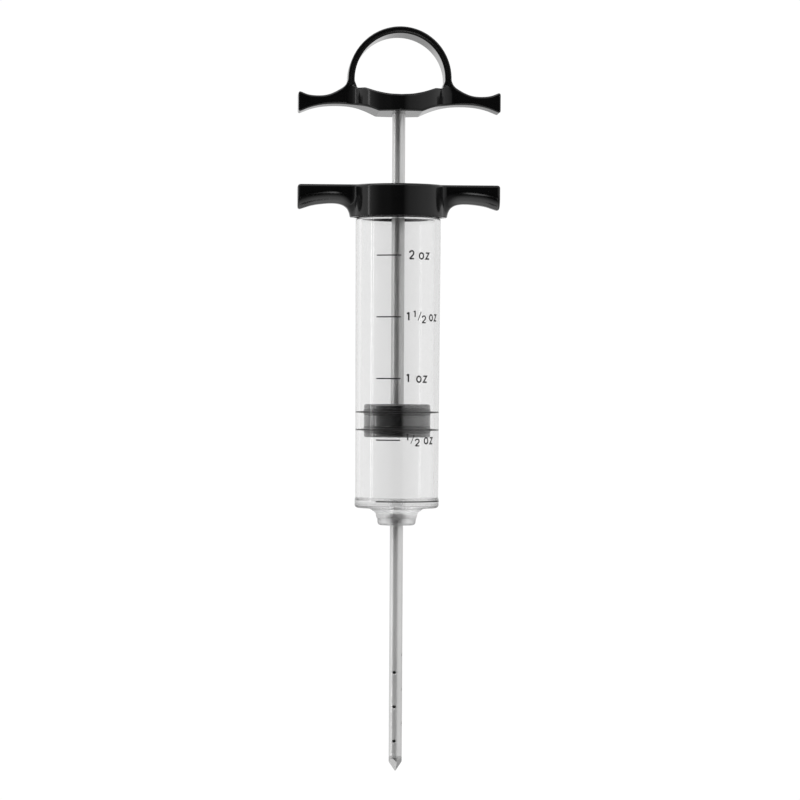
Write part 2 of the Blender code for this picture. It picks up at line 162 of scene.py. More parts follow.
# Making meshes


def new_object(name, points, faces, body, material, replaces=(), normals=None):
    """A mesh object, from points in millimetres, that rides on a CAD body."""
    mesh = bpy.data.meshes.new(name)
    mesh.from_pydata((np.asarray(points, float) * MM).tolist(), [], faces)
    mesh.polygons.foreach_set("use_smooth", np.ones(len(mesh.polygons), bool))
    if normals is None:
        mesh.set_sharp_from_angle(angle=SHARP_ANGLE)
    else:
        mesh.normals_split_custom_set_from_vertices(normals.tolist())
    mesh.materials.append(material)
    obj = bpy.data.objects.new(name, mesh)
    bpy.context.scene.collection.objects.link(obj)
    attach(obj, body)
    if replaces:
        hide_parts(*replaces)
    return obj


def rounded(corners, steps=6, closed=True):
    """The outline with each corner (a, b, radius) made an arc; one without a radius stays sharp."""
    outline = []
    count = len(corners)
    for index, corner in enumerate(corners):
        here = np.array(corner[:2], float)
        ends = not closed and index in (0, count - 1)
        if len(corner) < 3 or ends:
            outline.append(tuple(here))
            continue
        before = np.array(corners[index - 1][:2], float) - here
        after = np.array(corners[(index + 1) % count][:2], float) - here
        before_length, after_length = np.linalg.norm(before), np.linalg.norm(after)
        before, after = before / before_length, after / after_length
        half = math.acos(np.clip(before @ after, -1, 1)) / 2
        cut = min(corner[2] / math.tan(half), 0.49 * before_length, 0.49 * after_length)
        radius = cut * math.tan(half)
        inward = (before + after) / np.linalg.norm(before + after)
        centre = here + inward * radius / math.sin(half)
        start, end = here + before * cut - centre, here + after * cut - centre
        turn = math.atan2(start[0] * end[1] - start[1] * end[0], start @ end)
        for k in range(steps + 1):
            c, s = math.cos(turn * k / steps), math.sin(turn * k / steps)
            a, b = c * start[0] - s * start[1], s * start[0] + c * start[1]
            outline.append((centre[0] + a, centre[1] + b))
    return outline


def smooth(points, steps=5):
    """A Catmull-Rom curve through the points."""
    p = np.array(points, float)
    p = np.vstack([2 * p[0] - p[1], p, 2 * p[-1] - p[-2]])
    curve = []
    for k in range(1, len(p) - 2):
        a, b, c, d = p[k - 1 : k + 3]
        for t in np.arange(steps) / steps:
            bend = 2 * a - 5 * b + 4 * c - d + t * (3 * (b - c) + d - a)
            curve.append(tuple(b + 0.5 * t * (c - a + t * bend)))
    return [*curve, tuple(p[-2])]


def subdivided(outline, longest, closed, guard=0.0):
    """The outline with its long straight runs split, and a point at guard from each end of a run,
    which keeps the shading of a rounded corner from spreading over the flat beside it."""
    points = []
    runs = zip(outline, outline[1:] + outline[:1]) if closed else zip(outline, outline[1:])
    for a, b in runs:
        length = math.dist(a, b)
        parts = max(1, math.ceil(length / longest))
        shares = [k / parts for k in range(parts)]
        if guard and length > 4 * guard:
            shares = sorted({0.0, guard / length, *shares, 1 - guard / length})
        across, up = b[0] - a[0], b[1] - a[1]
        points += [(a[0] + across * t, a[1] + up * t) for t in shares]
    return points if closed else [*points, outline[-1]]


def turned(profile, segments=192, closed=True, longest=30.0, bulge=None):
    """Points and faces of a profile of (radius, z) turned about Z. It runs with the solid on its left,
    seen from -Y with the radius to the right. An open profile starts and ends on the axis.
    bulge(angles, radius, z), where given, is added to the radius all round."""
    outline = subdivided(profile, longest, closed, GUARD)
    points, rings = [], []
    angles = 2 * math.pi * np.arange(segments) / segments
    for radius, z in outline:
        if radius < 1e-9:
            rings.append([len(points)])
            points.append((0.0, 0.0, z))
            continue
        radii = radius + (bulge(angles, radius, z) if bulge else np.zeros(segments))
        rings.append(list(range(len(points), len(points) + segments)))
        points += zip(radii * np.sin(angles), -radii * np.cos(angles), np.full(segments, z))
    faces = []
    pairs = zip(rings, rings[1:] + rings[:1]) if closed else zip(rings, rings[1:])
    for low, high in pairs:
        for k in range(segments):
            n = (k + 1) % segments
            corners = [low[k % len(low)], low[n % len(low)]]
            corners += [high[n % len(high)], high[k % len(high)]]
            faces.append(tuple(dict.fromkeys(corners)))  # three corners where a ring is the axis
    return points, faces


# Fields: signed distances in millimetres, negative inside


def inside_outline(outline):
    """The field of a closed flat outline, as a function of its two coordinates."""
    starts = np.array(outline, float)
    ends = np.roll(starts, -1, axis=0)

    def field(u, v):
        u, v = np.broadcast_arrays(u, v)
        nearest = np.full(u.shape, np.inf)
        inside = np.zeros(u.shape, bool)
        for (a, b), (c, d) in zip(starts, ends):
            du, dv = c - a, d - b
            along = np.clip(((u - a) * du + (v - b) * dv) / (du**2 + dv**2), 0, 1)
            nearest = np.minimum(nearest, (u - a - along * du) ** 2 + (v - b - along * dv) ** 2)
            if dv:
                inside ^= ((b > v) != (d > v)) & (u < a + (v - b) / dv * du)
        return np.where(inside, -1.0, 1.0) * np.sqrt(nearest)

    return field


def join(a, b, radius):
    """Both solids together, with a fillet of that radius between them."""
    reach = np.hypot(np.maximum(radius - a, 0), np.maximum(radius - b, 0))
    return np.maximum(radius, np.minimum(a, b)) - reach


def common(a, b, radius):
    """What both solids share, with the edge between them rounded to that radius."""
    reach = np.hypot(np.maximum(radius + a, 0), np.maximum(radius + b, 0))
    return np.minimum(-radius, np.maximum(a, b)) + reach


def tube(radial, z, inner, outer, low, high, edge=0.2):
    """The field of a ring of rectangular section."""
    wall = common(radial - outer, inner - radial, edge) if inner > 0 else radial - outer
    return common(common(wall, low - z, edge), z - high, edge)


def skin(field, low, high, step, rounds=3):
    """Points, faces and normals of the closed surface where the field is zero, grown on a grid between
    two corners: one point in each cell that the surface crosses, and a face round each crossed edge."""
    counts = [math.ceil((b - a) / step) + 1 for a, b in zip(low, high)]
    axes = [a + step * np.arange(n) for a, n in zip(low, counts)]
    values = np.broadcast_to(field(*np.meshgrid(*axes, indexing="ij", sparse=True)), counts)
    cells = tuple(n - 1 for n in counts)
    total = np.zeros((3, math.prod(cells)))
    hits = np.zeros(math.prod(cells))
    quads = []
    for axis in range(3):
        near = np.take(values, range(counts[axis] - 1), axis)
        far = np.take(values, range(1, counts[axis]), axis)
        edges = np.argwhere((near < 0) != (far < 0))
        a, b = near[tuple(edges.T)], far[tuple(edges.T)]
        crossing = edges.astype(float)
        crossing[:, axis] += a / (a - b)
        second, third = (axis + 1) % 3, (axis + 2) % 3
        round_edge = []
        for back_second, back_third in ((0, 0), (1, 0), (1, 1), (0, 1)):
            cell = edges.copy()
            cell[:, second] -= back_second
            cell[:, third] -= back_third
            flat = np.ravel_multi_index(tuple(cell.T), cells)
            round_edge.append(flat)
            hits += np.bincount(flat, minlength=len(hits))
            for k in range(3):
                total[k] += np.bincount(flat, weights=crossing[:, k], minlength=len(hits))
        quad = np.stack(round_edge, axis=1)
        quads.append(np.where((a < 0)[:, None], quad, quad[:, ::-1]))
    used = np.flatnonzero(hits)
    number = np.full(len(hits), -1)
    number[used] = np.arange(len(used))
    quads = number[np.concatenate(quads)]
    points = (total[:, used] / hits[used]).T * step + np.array(low)
    points = settled(points, quads, field, step, rounds)
    normals = slope_at(points, field, 0.45 * step)
    normals /= np.linalg.norm(normals, axis=1)[:, None]
    return points, quads.tolist(), normals


def settled(points, quads, field, step, rounds):
    """The points, evened out along the surface and then put exactly on it."""
    ends = np.concatenate([quads[:, [k, (k + 1) % 4]] for k in range(4)])
    links = np.bincount(ends[:, 0], minlength=len(points))
    for _ in range(rounds):
        sums = [np.bincount(ends[:, 0], points[ends[:, 1], k], len(points)) for k in range(3)]
        points = points + 0.5 * (np.stack(sums, axis=1) / links[:, None] - points)
        for _ in range(2):
            points = points + on_surface(points, field, 0.02 * step, 0.5 * step)
    return points


def slope_at(points, field, probe):
    """The field's gradient at each point."""
    steps = probe * np.eye(3)
    rises = [field(*(points + step).T) - field(*(points - step).T) for step in steps]
    return np.stack(rises, axis=1) / (2 * probe)


def on_surface(points, field, probe, limit):
    """The move that takes each point to the field's zero, at most limit long."""
    value = field(*points.T)
    slope = slope_at(points, field, probe)
    move = -value[:, None] * slope / np.maximum((slope**2).sum(1), 0.05)[:, None]
    length = np.linalg.norm(move, axis=1)
    return move * np.minimum(1, limit / np.maximum(length, 1e-12))[:, None]


# Materials


class Nodes:
    """A material's or the world's node tree, written as short calls."""

    def __init__(self, tree):
        self.tree = tree
        tree.nodes.clear()

    def add(self, kind, inputs=None, **settings):
        node = self.tree.nodes.new(kind)
        for key, value in settings.items():
            setattr(node, key, value)
        for key, value in (inputs or {}).items():
            self.put(node.inputs[key], value)
        return node

    def put(self, socket, value):
        if isinstance(value, bpy.types.NodeSocket):
            self.tree.links.new(value, socket)
        else:
            socket.default_value = value

    def math(self, operation, a, b=0.0, clamp=False):
        node = self.add("ShaderNodeMath", {0: a, 1: b}, operation=operation, use_clamp=clamp)
        return node.outputs[0]

    def ramp(self, value, stops, interpolation="LINEAR"):
        """A colour ramp of grey stops (position, value) or colour stops."""
        node = self.add("ShaderNodeValToRGB", {"Fac": value})
        node.color_ramp.interpolation = interpolation
        elements = node.color_ramp.elements
        while len(elements) < len(stops):
            elements.new(0.5)
        for element, (position, colour) in zip(elements, stops):
            element.position = position
            channels = (colour,) * 3 if isinstance(colour, float) else colour
            element.color = (*channels, 1.0)
        return node.outputs["Color"]

    def scale(self, value, low, high, to_low, to_high, clamp=True):
        """The value moved from the range low to high to the range to_low to to_high."""
        inputs = {"Value": value, "From Min": low, "From Max": high}
        inputs.update({"To Min": to_low, "To Max": to_high})
        return self.add("ShaderNodeMapRange", inputs, clamp=clamp).outputs["Result"]

    def noise(self, size, detail=2.0, roughness=0.5, stretch=(1.0, 1.0, 1.0)):
        """Noise whose lumps are about size millimetres across, longer where stretch is above 1."""
        place = self.add("ShaderNodeTexCoord").outputs["Object"]
        mapping = {"Vector": place, "Scale": tuple(1.0 / (size * MM * s) for s in stretch)}
        place = self.add("ShaderNodeMapping", mapping).outputs["Vector"]
        inputs = {"Vector": place, "Scale": 1.0, "Detail": detail, "Roughness": roughness}
        return self.add("ShaderNodeTexNoise", inputs).outputs["Fac"]

    def bump(self, height, depth, after=None):
        """A bump of depth millimetres, on top of another one."""
        inputs = {"Height": height, "Strength": 1.0, "Distance": depth * MM}
        if after is not None:
            inputs["Normal"] = after
        return self.add("ShaderNodeBump", inputs).outputs["Normal"]

    def surface(self, inputs):
        shader = self.add("ShaderNodeBsdfPrincipled", inputs)
        out = self.add("ShaderNodeOutputMaterial")
        self.tree.links.new(shader.outputs["BSDF"], out.inputs["Surface"])
        return shader


def new_material(name):
    material = bpy.data.materials.new(name)
    material.use_nodes = True
    return material, Nodes(material.node_tree)


def clear_plastic():
    """Polished clear plastic with faint draw marks, handling haze and a few fine scratches. The thick
    foot is ribbed and greyer, and the nozzle is frosted."""
    tint = (0.875, 0.875, 0.875)
    foot_tint = (0.7, 0.7, 0.7, 1.0)
    foot_frost, nozzle_frost = 0.2, 0.12
    material, nodes = new_material("clear_plastic")
    haze = nodes.noise(9.0, 3.0)
    marks = nodes.noise(0.7, 2.0, stretch=(1.0, 1.0, 30.0))
    scratches = nodes.noise(0.25, 1.0, stretch=(6.0, 6.0, 1.0))
    height = nodes.add("ShaderNodeTexCoord").outputs["Object"]
    height = nodes.add("ShaderNodeSeparateXYZ", {"Vector": height}).outputs["Z"]
    foot = nodes.scale(height, (FLOOR_Z + 0.2) * MM, (FLOOR_Z - 0.6) * MM, 0.0, 1.0)
    nozzle = nodes.scale(height, (BASE_Z - 0.4) * MM, (BASE_Z - 1.6) * MM, 0.0, 1.0)
    frosts = (nodes.math("MULTIPLY", foot, foot_frost), nodes.math("MULTIPLY", nozzle, nozzle_frost))
    frost = nodes.math("ADD", *frosts)
    roughness = nodes.math("ADD", nodes.scale(haze, 0.35, 0.75, 0.0, 0.012), frost)
    ribs = nodes.noise(0.5, 2.0, stretch=(1.0, 1.0, 12.0))
    bump = nodes.bump(nodes.math("MULTIPLY", ribs, foot), 0.05)
    bump = nodes.bump(marks, 0.0006, bump)
    bump = nodes.bump(nodes.scale(scratches, 0.72, 0.8, 0.0, 1.0), 0.0006, bump)
    colour = nodes.ramp(haze, [(0.3, tint), (0.8, tuple(c * 0.985 for c in tint))])
    share = nodes.math("MULTIPLY", foot, nodes.scale(ribs, 0.35, 0.65, 0.8, 1.0))
    inputs = {"Fac": share, "Color1": colour, "Color2": foot_tint}
    colour = nodes.add("ShaderNodeMixRGB", inputs).outputs["Color"]
    nodes.surface(
        {
            "Base Color": colour,
            "Roughness": roughness,
            "IOR": 1.5,
            "Transmission Weight": 1.0,
            "Normal": bump,
        }
    )
    return material


def black_plastic():
    """Glossy moulded black plastic: fine orange peel, flow streaks, and light rubbing marks."""
    material, nodes = new_material("black_plastic")
    peel = nodes.noise(0.9, 2.0)
    flow = nodes.noise(5.0, 3.0, stretch=(3.0, 1.0, 1.0))
    rubbed = nodes.noise(0.35, 3.0, 0.65)
    colour = nodes.ramp(flow, [(0.3, (0.0028, 0.0028, 0.0029)), (0.7, (0.0044, 0.0044, 0.0045))])
    roughness = nodes.scale(rubbed, 0.3, 0.75, 0.09, 0.16)
    bump = nodes.bump(peel, 0.0016)
    bump = nodes.bump(rubbed, 0.0004, bump)
    nodes.surface(
        {
            "Base Color": colour,
            "Roughness": roughness,
            "IOR": 1.5,
            "Specular IOR Level": 0.27,
            "Normal": bump,
        }
    )
    return material


def steel(name, roughness, along=True, painted_shade=1.0):
    """Ground stainless steel: fine circular grinding marks that, with along, stretch reflections along
    the axis. A shade factor below 1 darkens its colour as painted shade."""
    material, nodes = new_material(name)
    grain = nodes.noise(0.05, 2.0, stretch=(30.0, 30.0, 1.0))
    stain = nodes.noise(6.0, 3.0, stretch=(1.0, 1.0, 3.0))
    tones = ((0.66, 0.66, 0.655), (0.73, 0.73, 0.725))
    # painted shade: both tones are darkened by the shade factor
    dull, bright = (tuple(painted_shade * c for c in tone) for tone in tones)
    colour = nodes.ramp(stain, [(0.3, dull), (0.7, bright)])
    rough = nodes.scale(grain, 0.3, 0.7, roughness * 0.9, roughness * 1.15)
    tangent = nodes.add("ShaderNodeTangent", direction_type="RADIAL", axis="Z").outputs["Tangent"]
    nodes.surface(
        {
            "Base Color": colour,
            "Metallic": 0.8,
            "Roughness": rough,
            "Anisotropic": 0.75 if along else 0.0,
            "Anisotropic Rotation": 0.25,
            "Tangent": tangent,
            "Normal": nodes.bump(grain, 0.0005),
        }
    )
    return material


def piston_plastic():
    """Smooth dark moulded plastic with faint turning rings and a film left by wiping."""
    material, nodes = new_material("piston_plastic")
    rings = nodes.noise(0.18, 1.0, stretch=(60.0, 60.0, 1.0))
    film = nodes.noise(3.0, 3.0, stretch=(2.0, 2.0, 1.0))
    colour = nodes.ramp(film, [(0.3, (0.020, 0.020, 0.020)), (0.7, (0.030, 0.030, 0.030))])
    nodes.surface(
        {
            "Base Color": colour,
            "Roughness": nodes.scale(film, 0.3, 0.75, 0.03, 0.06),
            "IOR": 1.6,
            "Specular IOR Level": 1.0,
            "Normal": nodes.bump(rings, 0.0008),
        }
    )
    return material


def seal_rubber():
    """Soft black rubber, fine-grained, a little shinier where the bore has polished it."""
    material, nodes = new_material("seal_rubber")
    grain = nodes.noise(0.12, 3.0)
    patches = nodes.noise(2.5, 2.0)
    colour = nodes.ramp(patches, [(0.3, (0.006, 0.006, 0.006)), (0.7, (0.011, 0.011, 0.011))])
    nodes.surface(
        {
            "Base Color": colour,
            "Roughness": nodes.scale(patches, 0.3, 0.7, 0.3, 0.45),
            "IOR": 1.5,
            "Normal": nodes.bump(grain, 0.004),
        }
    )
    return material


def print_ink():
    """Screen-printed black ink with the uneven cover of a pad print."""
    material, nodes = new_material("print_ink")
    cover = nodes.noise(0.3, 4.0, 0.6)
    colour = nodes.ramp(cover, [(0.3, (0.006, 0.006, 0.006)), (0.8, (0.022, 0.022, 0.022))])
    nodes.surface(
        {
            "Base Color": colour,
            "Roughness": nodes.scale(cover, 0.3, 0.7, 0.4, 0.6),
            "Normal": nodes.bump(cover, 0.002),
        }
    )
    return material


# Pieces


def make_barrel(material):
    """Barrel with its bore, foot rim and nozzle, and a neck with two bayonet lugs inside the cap."""
    needle_hole_z = TUBE_HIGH.z + 0.05
    flange_seat_z = FLANGE_TOP_Z + 0.02
    profile = rounded(
        [
            (NECK_R, BARREL_HIGH.z, 0.4),
            (NECK_R, SHOULDER_Z, 0.15),
            (BARREL_TOP_R, SHOULDER_Z, 0.8),
            (BARREL_LOW_R, RIM_TOP_Z + 0.3, 0.6),
            (RIM_R, RIM_TOP_Z, 0.3),
            (RIM_R, BASE_Z, 1.3),
            (10.3, BASE_Z - 0.4, 2.2),
            (NOZZLE_R + 0.5, -112.7, 0.9),
            (NOZZLE_R, NOZZLE_Z, 0.15),
            (FLANGE_R + 0.03, NOZZLE_Z, 0.05),
            (FLANGE_R + 0.03, flange_seat_z),
            (NEEDLE_R + 0.02, flange_seat_z),
            (NEEDLE_R + 0.02, needle_hole_z),
            (OUTLET_R, needle_hole_z),
            (OUTLET_R, FLOOR_Z, 0.4),
            (BORE_R, FLOOR_Z, 0.6),
            (BORE_R, BARREL_HIGH.z, 0.3),
        ]
    )
    profile.reverse()
    points, faces = turned(profile, BARREL_SEGMENTS, longest=6.0)
    for middle in LUG_MIDDLES:
        more, around = lug(middle)
        faces += [tuple(k + len(points) for k in face) for face in around]
        points += more
    new_object("barrel_shell", points, faces, "barrel", material, ["barrel"])


def lug(middle):
    """A bayonet lug: a closed block on the neck, centred on an angle in degrees from the front."""
    low, high, root = LUG_LOW_Z, BARREL_HIGH.z - 0.4, NECK_R - 0.1
    section = rounded([(root, low), (LUG_R, low, 0.2), (LUG_R, high, 0.2), (root, high)], 3)
    angles = np.radians(middle + np.linspace(-LUG_HALF_ANGLE, LUG_HALF_ANGLE, 17))
    points = [(r * math.sin(a), -r * math.cos(a), z) for a in angles for r, z in section]
    count = len(section)
    faces = []
    for k in range(len(angles) - 1):
        for i in range(count):
            here, ahead, n = k * count, (k + 1) * count, (i + 1) % count
            faces.append((here + i, ahead + i, ahead + n, here + n))
    last = (len(angles) - 1) * count
    faces += [tuple(range(count)), tuple(last + i for i in reversed(range(count)))]
    return points, faces


def cap_field():
    """Hub, two wings with arched and well rounded undersides, and everything inside the cap."""
    arch = [(60.0, -4.0), (46.0, 0.4), (37.2, 3.1), (32.5, 4.5), (26.5, 5.2)]
    arch += [(22.4, 4.9), (20.0, 3.6), (18.9, 1.8)]
    half = [(60.0, 40.0), *smooth(arch, 8), (18.35, 0.0), (18.2, -20.0)]
    above_arch = inside_outline(half + [(-x, z) for x, z in reversed(half)])

    def field(x, y, z):
        radial = np.hypot(x, y)
        wings = common(above_arch(x, z), np.abs(y) - WING_HALF_DEPTH, WING_ROUNDING)
        wings = common(wings, np.abs(x) - CAP_HIGH.x, WING_TIP_ROUNDING)
        body = join(radial - CAP_R, wings, WING_FILLET)
        body = common(body, z - CAP_HIGH.z, 1.0)
        body = common(body, -z, 0.25)
        body = common(body, -tube(radial, z, -1, CAVITY_R, -5.0, CEILING_Z, 0.4), 0.2)
        above = CEILING_Z + 1
        spigot = tube(radial, z, SPIGOT_R - SPIGOT_WALL, SPIGOT_R, CAP_LOW.z, above, 0.3)
        guide = tube(radial, z, -1, GUIDE_R, GUIDE_LOW_Z, above, 0.3)
        body = join(body, np.minimum(spigot, guide), 0.4)
        turn = np.degrees(np.arctan2(y, np.abs(x))) * np.sign(x)
        ledge = tube(radial, z, LEDGE_R, CAVITY_R + 1, LEDGE_LOW_Z, LEDGE_HIGH_Z)
        stop = tube(radial, z, LEDGE_R, CAVITY_R + 1, LEDGE_HIGH_Z - 0.5, above)
        for block, (start, end) in ((ledge, LEDGE_ANGLES), (stop, STOP_ANGLES)):
            beside = np.maximum(start - turn, turn - end) * math.radians(1) * LEDGE_R
            body = join(body, common(block, beside, 0.2), 0.2)
        return common(body, ROD_R + 0.12 - radial, 0.3)

    return field


def make_cap(material):
    low = (CAP_LOW.x - 1, CAP_LOW.y - 1, CAP_LOW.z - 1)
    high = (CAP_HIGH.x + 1, CAP_HIGH.y + 1, CAP_HIGH.z + 1)
    points, faces, normals = skin(cap_field(), low, high, MOULDING_STEP)
    node = ["barrel_cap"]
    new_object("cap_moulding", points, faces, "cap", material, node, normals)


def handle_field():
    """Dished hub with two dog-bone wings, and the thumb ring whose band widens upwards."""
    saddle = smooth([(0.0, 45.9), (4.5, 46.2), (9.0, 47.2), (13.4, 48.8)])
    ridge = [(16.0, 48.9), (17.6, 50.1), (19.8, 49.9)]
    dip = [(21.0, 49.3), (23.5, 48.0), (27.0, 46.5), (30.5, 46.0), (34.5, 46.3), (37.8, 47.5)]
    tip = [(38.35, 47.5), (60.0, 47.1), (60.0, 40.2), (38.3, 39.9)]
    low = [(37.7, 40.0), (33.5, 41.6), (28.5, 42.6), (22.5, 42.8), (17.0, 42.3), (12.5, 41.3)]
    half = saddle + ridge + smooth(dip) + tip + smooth([*low, (8.2, HUB_LOW_Z)])
    front = inside_outline(half + [(-x, z) for x, z in reversed(half) if x > 0])
    flare = smooth([(19.8, 51.8), (20.5, 50.3), (21.5, 49.3), (22.6, 48.5), (23.6, 47.9)], 3)
    leg = [(RING_R - 0.06, 53.9), (RING_R, 52.6), *flare, (23.6, 47.2), (15.6, 47.2), (16.0, 48.7)]
    leg += [(RING_INNER_R, 51.7), (RING_INNER_R, 52.6), (RING_INNER_R - 0.07, 53.9)]
    right_foot = inside_outline(leg)

    def field(x, y, z):
        radial = np.hypot(x, y)
        wings = common(np.abs(y) - WING_HALF_DEPTH, np.abs(x) - HANDLE_HIGH.x, 0.5)
        plan = join(radial - HUB_R, wings, HUB_FILLET)
        body = common(front(x, z), plan, 0.8)
        around = np.hypot(x, z - RING_Z)
        band = common(around - RING_R, RING_INNER_R - around, 0.05)
        arch = np.maximum(band, RING_Z - 1.5 - z)
        feet = right_foot(np.abs(x), z)
        half_depth = np.interp(z, RING_WIDENS, RING_HALF_DEPTHS)
        ring = common(np.minimum(arch, feet), np.abs(y) - half_depth, 0.75)
        body = join(body, ring, 0.3)
        socket = tube(radial, z, -1, ROD_R + 0.03, 20.0, ROD_HIGH.z + 0.1, 0.05)
        return common(body, -socket, 0.1)

    return field


def make_handle(material):
    low = (HANDLE_LOW.x - 1, HANDLE_LOW.y - 1, HANDLE_LOW.z - 1)
    high = (HANDLE_HIGH.x + 1, HANDLE_HIGH.y + 1, HANDLE_HIGH.z + 1)
    points, faces, normals = skin(handle_field(), low, high, MOULDING_STEP)
    node = ["plunger_handle"]
    new_object(
        "handle_moulding", points, faces, "plunger", material, node, normals
    )


def make_rod(material):
    """Ground rod with an anchor groove at the top, and a screw thread on its lower stud."""
    thread_low, thread_high = ROD_LOW.z + 0.4, ROD_STEP_Z - 0.5

    def thread(angles, radius, z):
        if radius > STUD_R + 1e-6 or not thread_low < z < thread_high:
            return np.zeros(len(angles))
        phase = (z / THREAD_PITCH - angles / (2 * math.pi)) % 1.0
        return -THREAD_DEPTH * np.abs(2 * phase - 1)

    top = ROD_HIGH.z
    shank = rounded(
        [
            (0.0, ROD_LOW.z),
            (STUD_R, ROD_LOW.z, 0.35),
            (STUD_R, ROD_STEP_Z, 0.05),
            (ROD_R, ROD_STEP_Z, 0.25),
            (ROD_R, top - 2.0, 0.1),
            (ROD_R - 0.3, top - 2.0, 0.1),
            (ROD_R - 0.3, top - 1.2, 0.1),
            (ROD_R, top - 1.2, 0.1),
            (ROD_R, top, 0.35),
            (0.0, top),
        ],
        closed=False,
    )
    stud = [p for p in shank if p[1] <= ROD_STEP_Z + 1e-6]
    stud = subdivided(stud, THREAD_PITCH / 8, False)
    rest = [p for p in shank if p[1] > ROD_STEP_Z + 1e-6]
    points, faces = turned(stud + rest, 64, closed=False, longest=8.0, bulge=thread)
    new_object("rod", points, faces, "plunger", material, ["plunger_rod"])


def make_piston(material):
    """Piston with two seal grooves, a seat for the rod, and a recess for the nut underneath."""
    corners = [(PISTON_R, PISTON_HIGH.z, 1.6)]
    for z in SEAL_ZS.values():
        top, low = z + SEAL_HALF_WIDTH + 0.05, z - SEAL_HALF_WIDTH - 0.05
        corners += [(PISTON_R, top, 0.12), (GROOVE_R, top, 0.1)]
        corners += [(GROOVE_R, low, 0.1), (PISTON_R, low, 0.12)]
    corners += [
        (PISTON_R, PISTON_LOW.z, 1.3),
        (RECESS_R, PISTON_LOW.z, 0.3),
        (RECESS_R, RECESS_Z, 0.2),
        (STUD_R + 0.05, RECESS_Z),
        (STUD_R + 0.05, ROD_STEP_Z - 0.02),
        (ROD_R + 0.02, ROD_STEP_Z - 0.02),
        (ROD_R + 0.02, PISTON_HIGH.z, 0.2),
    ]
    profile = rounded(corners)
    profile.reverse()
    points, faces = turned(profile, 192)
    new_object("piston", points, faces, "piston", material, ["piston_body"])


def make_seals(material):
    """Lip seals: each crest is pressed flat against the bore, and shows as a line through the barrel."""
    crest_r = BORE_R + 0.04
    half = [
        (crest_r, 0.3, 0.1),
        (PISTON_R + 0.1, 0.42, 0.1),
        (PISTON_R - 0.05, SEAL_HALF_WIDTH, 0.15),
        (GROOVE_R + 0.02, SEAL_HALF_WIDTH, 0.3),
    ]
    for node, middle in SEAL_ZS.items():
        section = [(r, middle + dz, k) for r, dz, k in half]
        section += [(r, middle - dz, k) for r, dz, k in reversed(half)]
        points, faces = turned(rounded(section, 4), 192)
        name = node.replace("_ring", "")
        new_object(name, points, faces, "piston", material, [node])


def make_washer(material):
    top = extent("piston_washer")[1].z
    low = top - WASHER_T
    hole = STUD_R + 0.1
    section = [(WASHER_R, top, 0.2), (hole, top, 0.1), (hole, low, 0.1), (WASHER_R, low, 0.2)]
    points, faces = turned(rounded(section, 3), 96)
    new_object("washer", points, faces, "plunger", material, ["piston_washer"])


def make_nut(material):
    """Hexagon nut, chamfered on both faces, with a countersunk threaded hole."""
    low, high = extent("piston_nut")
    middle, height = (low.z + high.z) / 2, (high.z - low.z) / 2

    def field(x, y, z):
        radial = np.hypot(x, y)
        hexagon = np.full(np.broadcast(x, y, z).shape, -100.0)
        for k in range(3):
            angle = math.radians(30 + 60 * k)
            across = np.abs(x * math.cos(angle) + y * math.sin(angle))
            hexagon = np.maximum(hexagon, across - NUT_HALF_FLATS)
        beyond = np.abs(z - middle) - height
        chamfer = (radial - (NUT_HALF_FLATS + 0.1) + beyond * 1.7) * 0.5
        body = common(np.maximum(hexagon, chamfer), beyond, 0.08)
        sink = (NUT_SINK_R - radial + beyond) * 0.7
        return np.maximum(body, np.maximum(NUT_HOLE_R - radial, sink))

    corner = (low.x - 0.5, low.y - 0.5, low.z - 0.5)
    other = (high.x + 0.5, high.y + 0.5, high.z + 0.5)
    points, faces, normals = skin(field, corner, other, NUT_STEP)
    new_object("nut", points, faces, "plunger", material, ["piston_nut"], normals)


def make_needle(material):
    """Steel tube with a flange near its top, and six holes with softened edges: three face the front
    and three the right, staggered."""
    holes = []
    for row in range(2):
        turn = PORT_TURN + row * math.pi / 2
        for k in range(3):
            z = FRONT_PORT_Z + row * PORT_PITCH / 2 - k * PORT_PITCH
            holes.append((math.sin(turn), -math.cos(turn), z))

    def field(x, y, z):
        radial = np.hypot(x, y)
        wall = tube(radial, z, NEEDLE_BORE_R, NEEDLE_R, TUBE_LOW.z, TUBE_HIGH.z, 0.1)
        flange = tube(radial, z, NEEDLE_BORE_R, FLANGE_R, FLANGE_LOW_Z, FLANGE_TOP_Z, 0.08)
        body = join(wall, flange, 0.15)
        for out_x, out_y, port_z in holes:
            ahead = x * out_x + y * out_y
            across = np.hypot(x * out_y - y * out_x, z - port_z)
            drill = np.maximum(across - PORT_R, -ahead)
            body = common(body, -drill, 0.09)
        return body

    low, high = (-4.0, -4.0, TUBE_LOW.z - 0.6), (4.0, 4.0, TUBE_HIGH.z + 0.6)
    points, faces, normals = skin(field, low, high, NEEDLE_STEP)
    new_object("needle", points, faces, "barrel", material, ["needle_tube"], normals)


def make_point(material):
    """Closed needle point, ground to four facets that meet at the tip."""
    slope = NEEDLE_R / POINT_RIDGE_HEIGHT * math.cos(math.pi / 4)
    turns = [POINT_TURN + math.pi / 2 * k for k in range(4)]

    def field(x, y, z):
        radial = np.hypot(x, y)
        height = z - POINT_LOW.z
        body = common(radial - NEEDLE_R, z - (TUBE_LOW.z - 0.04), 0.12)
        for turn in turns:
            out = x * math.cos(turn) + y * math.sin(turn)
            body = common(body, (out - slope * height) / math.hypot(1, slope), 0.06)
        plug_r = NEEDLE_BORE_R - 0.02
        plug = tube(radial, z, -1, plug_r, TUBE_LOW.z - 1, POINT_HIGH.z, 0.1)
        return np.minimum(body, plug)

    low, high = (-3.0, -3.0, POINT_LOW.z - 0.4), (3.0, 3.0, POINT_HIGH.z + 0.4)
    points, faces, normals = skin(field, low, high, POINT_STEP)
    new_object("point", points, faces, "barrel", material, ["needle_point"], normals)


